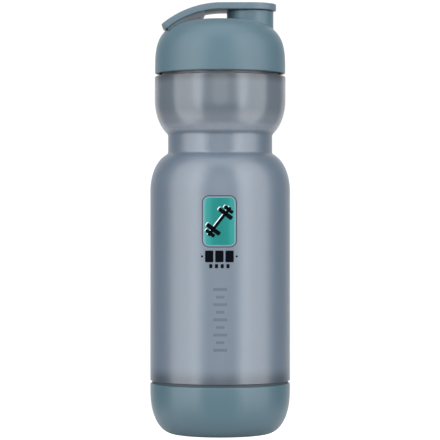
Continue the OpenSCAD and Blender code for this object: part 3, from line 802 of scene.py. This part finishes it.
def ink_mesh(name, shapes, lift=0.0, thick=0.05, slice_w=0.8, shift=PRINT_SHIFT):
    """Flat shapes in width and height, sliced fine, wrapped on the barrel and given thickness."""
    gap, off_edge = 0.01, 0.013  # the ink stands clear of the barrel, and slices miss the outlines
    shape = bmesh.new()
    for points in shapes:
        corners = [shape.verts.new((x, 0.0, z)) for x, z in points]
        shape.faces.new(corners)
    bmesh.ops.remove_doubles(shape, verts=shape.verts[:], dist=1e-4)
    bmesh.ops.triangulate(shape, faces=shape.faces[:], ngon_method="EAR_CLIP")
    reach = max(abs(v.co.x) for v in shape.verts)
    steps = int(reach / slice_w) + 1
    for i in range(-steps, steps + 1):
        bmesh.ops.bisect_plane(shape, geom=shape.verts[:] + shape.edges[:] + shape.faces[:],
                               plane_co=(i * slice_w + off_edge, 0, 0), plane_no=(1, 0, 0),
                               dist=1e-5)
    raised = bmesh.ops.extrude_face_region(shape, geom=shape.faces[:])["geom"]
    outer = {v for v in raised if isinstance(v, bmesh.types.BMVert)}
    for v in shape.verts:
        r = BODY_R + gap + lift + (thick if v in outer else 0.0)
        a = (v.co.x + shift) / BODY_R
        v.co = Vector((r * math.sin(a), -r * math.cos(a), PRINT_Z + v.co.z)) * MM
    bmesh.ops.recalc_face_normals(shape, faces=shape.faces[:])
    mesh = bpy.data.meshes.new(name)
    shape.to_mesh(mesh)
    shape.free()
    return mesh


def frame_band(grow_out, grow_in):
    """A frame round the badge, as quads between two outlines that stand off it by these distances."""
    outer, inner = (rounded_rect(BADGE_W + 2 * grow, BADGE_H + 2 * grow, BADGE_R + grow)
                    for grow in (grow_out, grow_in))
    count = len(outer)
    return [[outer[i], outer[(i + 1) % count], inner[(i + 1) % count], inner[i]]
            for i in range(count)]


piece("badge_field", ink_mesh("badge_field", [rounded_rect(BADGE_W, BADGE_H, BADGE_R)]), TEAL_INK_AND_SIDE_LIGHT,
      "bottle", ["badge_panel"])
piece("badge_light_rim", ink_mesh("badge_light_rim", frame_band(0.25, 0.0)), RIM_INK, "bottle", [])
piece("badge_outline", ink_mesh("badge_outline", frame_band(1.2, 0.8)), LINE_INK, "bottle",
      ["badge_border"])


def dumbbell(dx=0.0, dz=0.0):
    """The badge's plain lifting symbol: a bar with two plates at each end, leaning."""
    lean_deg = 52
    parts = [rounded_rect(18.6, 1.5, 0.4)]
    for side in (-1, 1):
        parts.append(rounded_rect(2.3, 8.6, 0.7, side * 5.1))
        parts.append(rounded_rect(1.9, 5.6, 0.6, side * 7.7))
    return [spun(part, lean_deg, dx, dz) for part in parts]


piece("badge_mark_light", ink_mesh("badge_mark_light", dumbbell(-0.35, 0.3), 0.05, 0.02),
      LIGHT_INK, "bottle", [])
piece("badge_mark", ink_mesh("badge_mark", dumbbell(), 0.08, 0.02), DARK_INK, "bottle",
      ["badge_symbol"])


def caption_shapes():
    """Three blocks between two dots, and four small squares under them."""
    block_z, square_z = 94.4 - PRINT_Z, 89.4 - PRINT_Z
    shapes = [rounded_rect(4.3, 6.0, 0.5, i * 5.25, block_z) for i in (-1, 0, 1)]
    shapes += [disc(0.55, side * (BADGE_W / 2 + 1.1), block_z) for side in (-1, 1)]
    return shapes + [rounded_rect(1.6, 2.1, 0.2, i * 2.95, square_z) for i in (-1.5, -0.5, 0.5, 1.5)]


def scale_shapes():
    """A row of plain bars, long and short in turn."""
    long_w, short_w, first_z, step = 7.2, 4.4, 46.2, 3.9
    return [rounded_rect(long_w if i % 2 == 0 else short_w, 1.5, 0.5, 0.0, first_z + step * i - PRINT_Z)
            for i in range(9)]


piece("badge_blocks", ink_mesh("badge_blocks", caption_shapes()), DARK_INK, "bottle",
      ["badge_caption"])
piece("fill_bars", ink_mesh("fill_bars", scale_shapes(), shift=0.0), GREY_INK, "bottle",
      ["side_scale"])


# ---- Studio ----
def smooth_step(tree, low, high, start, end):
    """A map range that goes smoothly from start, at low, to end, at high."""
    step = node_in(tree, "ShaderNodeMapRange", **{
        "From Min": low, "From Max": high, "To Min": start, "To Max": end})
    step.interpolation_type = "SMOOTHSTEP"
    return step


def floor_paint(solid_r, table_r):
    """Pale satin paint that fades out between two radii and looks white to the camera."""
    own_glow = 0.14
    paint = bpy.data.materials.new("studio_floor")
    paint.use_nodes = True
    tree = paint.node_tree
    shader = tree.nodes["Principled BSDF"]
    shader.inputs["Base Color"].default_value = (0.66, 0.66, 0.66, 1)
    shader.inputs["Roughness"].default_value = 0.25
    shader.inputs["Specular IOR Level"].default_value = 1.0
    shader.inputs["Emission Color"].default_value = (1.0, 1.0, 1.0, 1)
    place = node_in(tree, "ShaderNodeTexCoord")
    reach = node_in(tree, "ShaderNodeVectorMath")
    reach.operation = "LENGTH"
    fade = smooth_step(tree, solid_r, table_r, 1.0, 0.0)
    seen = node_in(tree, "ShaderNodeLightPath")
    glow = node_in(tree, "ShaderNodeMath")
    glow.operation = "MULTIPLY_ADD"
    glow.inputs[1].default_value, glow.inputs[2].default_value = 1.0, own_glow
    tree.links.new(place.outputs["Object"], reach.inputs[0])
    tree.links.new(reach.outputs["Value"], fade.inputs["Value"])
    tree.links.new(fade.outputs["Result"], shader.inputs["Alpha"])
    tree.links.new(seen.outputs["Is Camera Ray"], glow.inputs[0])
    tree.links.new(glow.outputs["Value"], shader.inputs["Emission Strength"])
    return paint


def studio_floor():
    """A round table top just under the bottle."""
    table_r, solid_r = 0.16, 0.042
    mesh = bpy.data.meshes.new("studio_floor")
    rim = disc(table_r, 0.0, 0.0, 96)
    mesh.from_pydata([(x, y, 0.0) for x, y in rim], [], [list(range(len(rim)))])
    mesh.materials.append(floor_paint(solid_r, table_r))
    floor = placed("studio_floor", mesh)


def studio_world():
    """White to the camera. To everything else dim, and brighter behind the bottle."""
    white, dim, bright = 1.05, 0.15, 0.85
    bright_from, bright_full = 0.60, 0.88  # shares of straight back
    world = bpy.data.worlds.new("studio")
    bpy.context.scene.world = world
    world.use_nodes = True
    tree = world.node_tree
    sky = tree.nodes["Background"]
    sky.inputs["Color"].default_value = (1.0, 1.0, 1.0, 1.0)
    place = node_in(tree, "ShaderNodeTexCoord")
    split = node_in(tree, "ShaderNodeSeparateXYZ")
    behind = smooth_step(tree, bright_from, bright_full, dim, bright)
    path = node_in(tree, "ShaderNodeLightPath")
    seen = node_in(tree, "ShaderNodeMix", B=white)
    tree.links.new(place.outputs["Generated"], split.inputs["Vector"])
    tree.links.new(split.outputs["Y"], behind.inputs["Value"])
    tree.links.new(path.outputs["Is Camera Ray"], seen.inputs["Factor"])
    tree.links.new(behind.outputs["Result"], seen.inputs["A"])
    tree.links.new(seen.outputs["Result"], sky.inputs["Strength"])


def softbox(name, azimuth, elevation, distance, size, radiance, shape="RECTANGLE"):
    """A flat light aimed at the bottle. Azimuth 0 is in front of the print, and sizes are in metres."""
    light = bpy.data.lights.new(name, "AREA")
    light.shape = shape
    light.size, light.size_y = size
    share = 1.0 if shape == "RECTANGLE" else math.pi / 4  # of its box that the shape fills
    light.energy = radiance * math.pi * light.size * light.size_y * share
    obj = bpy.data.objects.new(name, light)
    bpy.context.scene.collection.objects.link(obj)
    a, e = math.radians(azimuth), math.radians(elevation)
    aim = Vector((0, 0, 0.12))
    where = aim + distance * Vector((math.sin(a) * math.cos(e), -math.cos(a) * math.cos(e),
                                     math.sin(e)))
    obj.location = where
    obj.rotation_euler = (aim - where).to_track_quat("-Z", "Y").to_euler()
    obj.visible_camera = False
    return obj


def studio_lights():
    """Tall keys and narrow strips at both sides, a small front light, a fill, a top and a back."""
    for side, sign in (("left", -1), ("right", 1)):
        softbox("key_" + side, azimuth=sign * 60, elevation=6, distance=1.9, size=(2.0, 4.6),
                radiance=2.5)
        strip = softbox("strip_" + side, azimuth=sign * 38.5, elevation=14, distance=1.7,
                        size=(0.64, 2.0), radiance=1.95, shape="ELLIPSE")
        strip.data.color = (0.89, 1.0, 1.05)
    softbox("front", azimuth=0, elevation=6, distance=1.9, size=(0.90, 1.30), radiance=0.95,
            shape="ELLIPSE")
    softbox("fill", azimuth=0, elevation=17, distance=2.3, size=(2.8, 2.2), radiance=0.66)
    softbox("top", azimuth=0, elevation=80, distance=1.9, size=(2.2, 2.2), radiance=1.7)
    back = softbox("back", azimuth=180, elevation=20, distance=2.2, size=(2.0, 2.0), radiance=2.6)
    back.visible_glossy = False


def add_camera():
    """A long lens, level and in front of the bottle's middle."""
    aside, distance, height = -0.00008, 1.156, 0.1131
    camera = bpy.data.cameras.new("camera")
    camera.lens, camera.sensor_width = 178.3, 36.0
    camera.clip_end = 50.0
    eye = bpy.data.objects.new("camera", camera)
    bpy.context.scene.collection.objects.link(eye)
    eye.location = (aside, -distance, height)
    eye.rotation_euler = (math.pi / 2, 0.0, 0.0)
    bpy.context.scene.camera = eye


studio_floor()
studio_world()
studio_lights()
add_camera()
bpy.context.scene.view_settings.view_transform = "Standard"
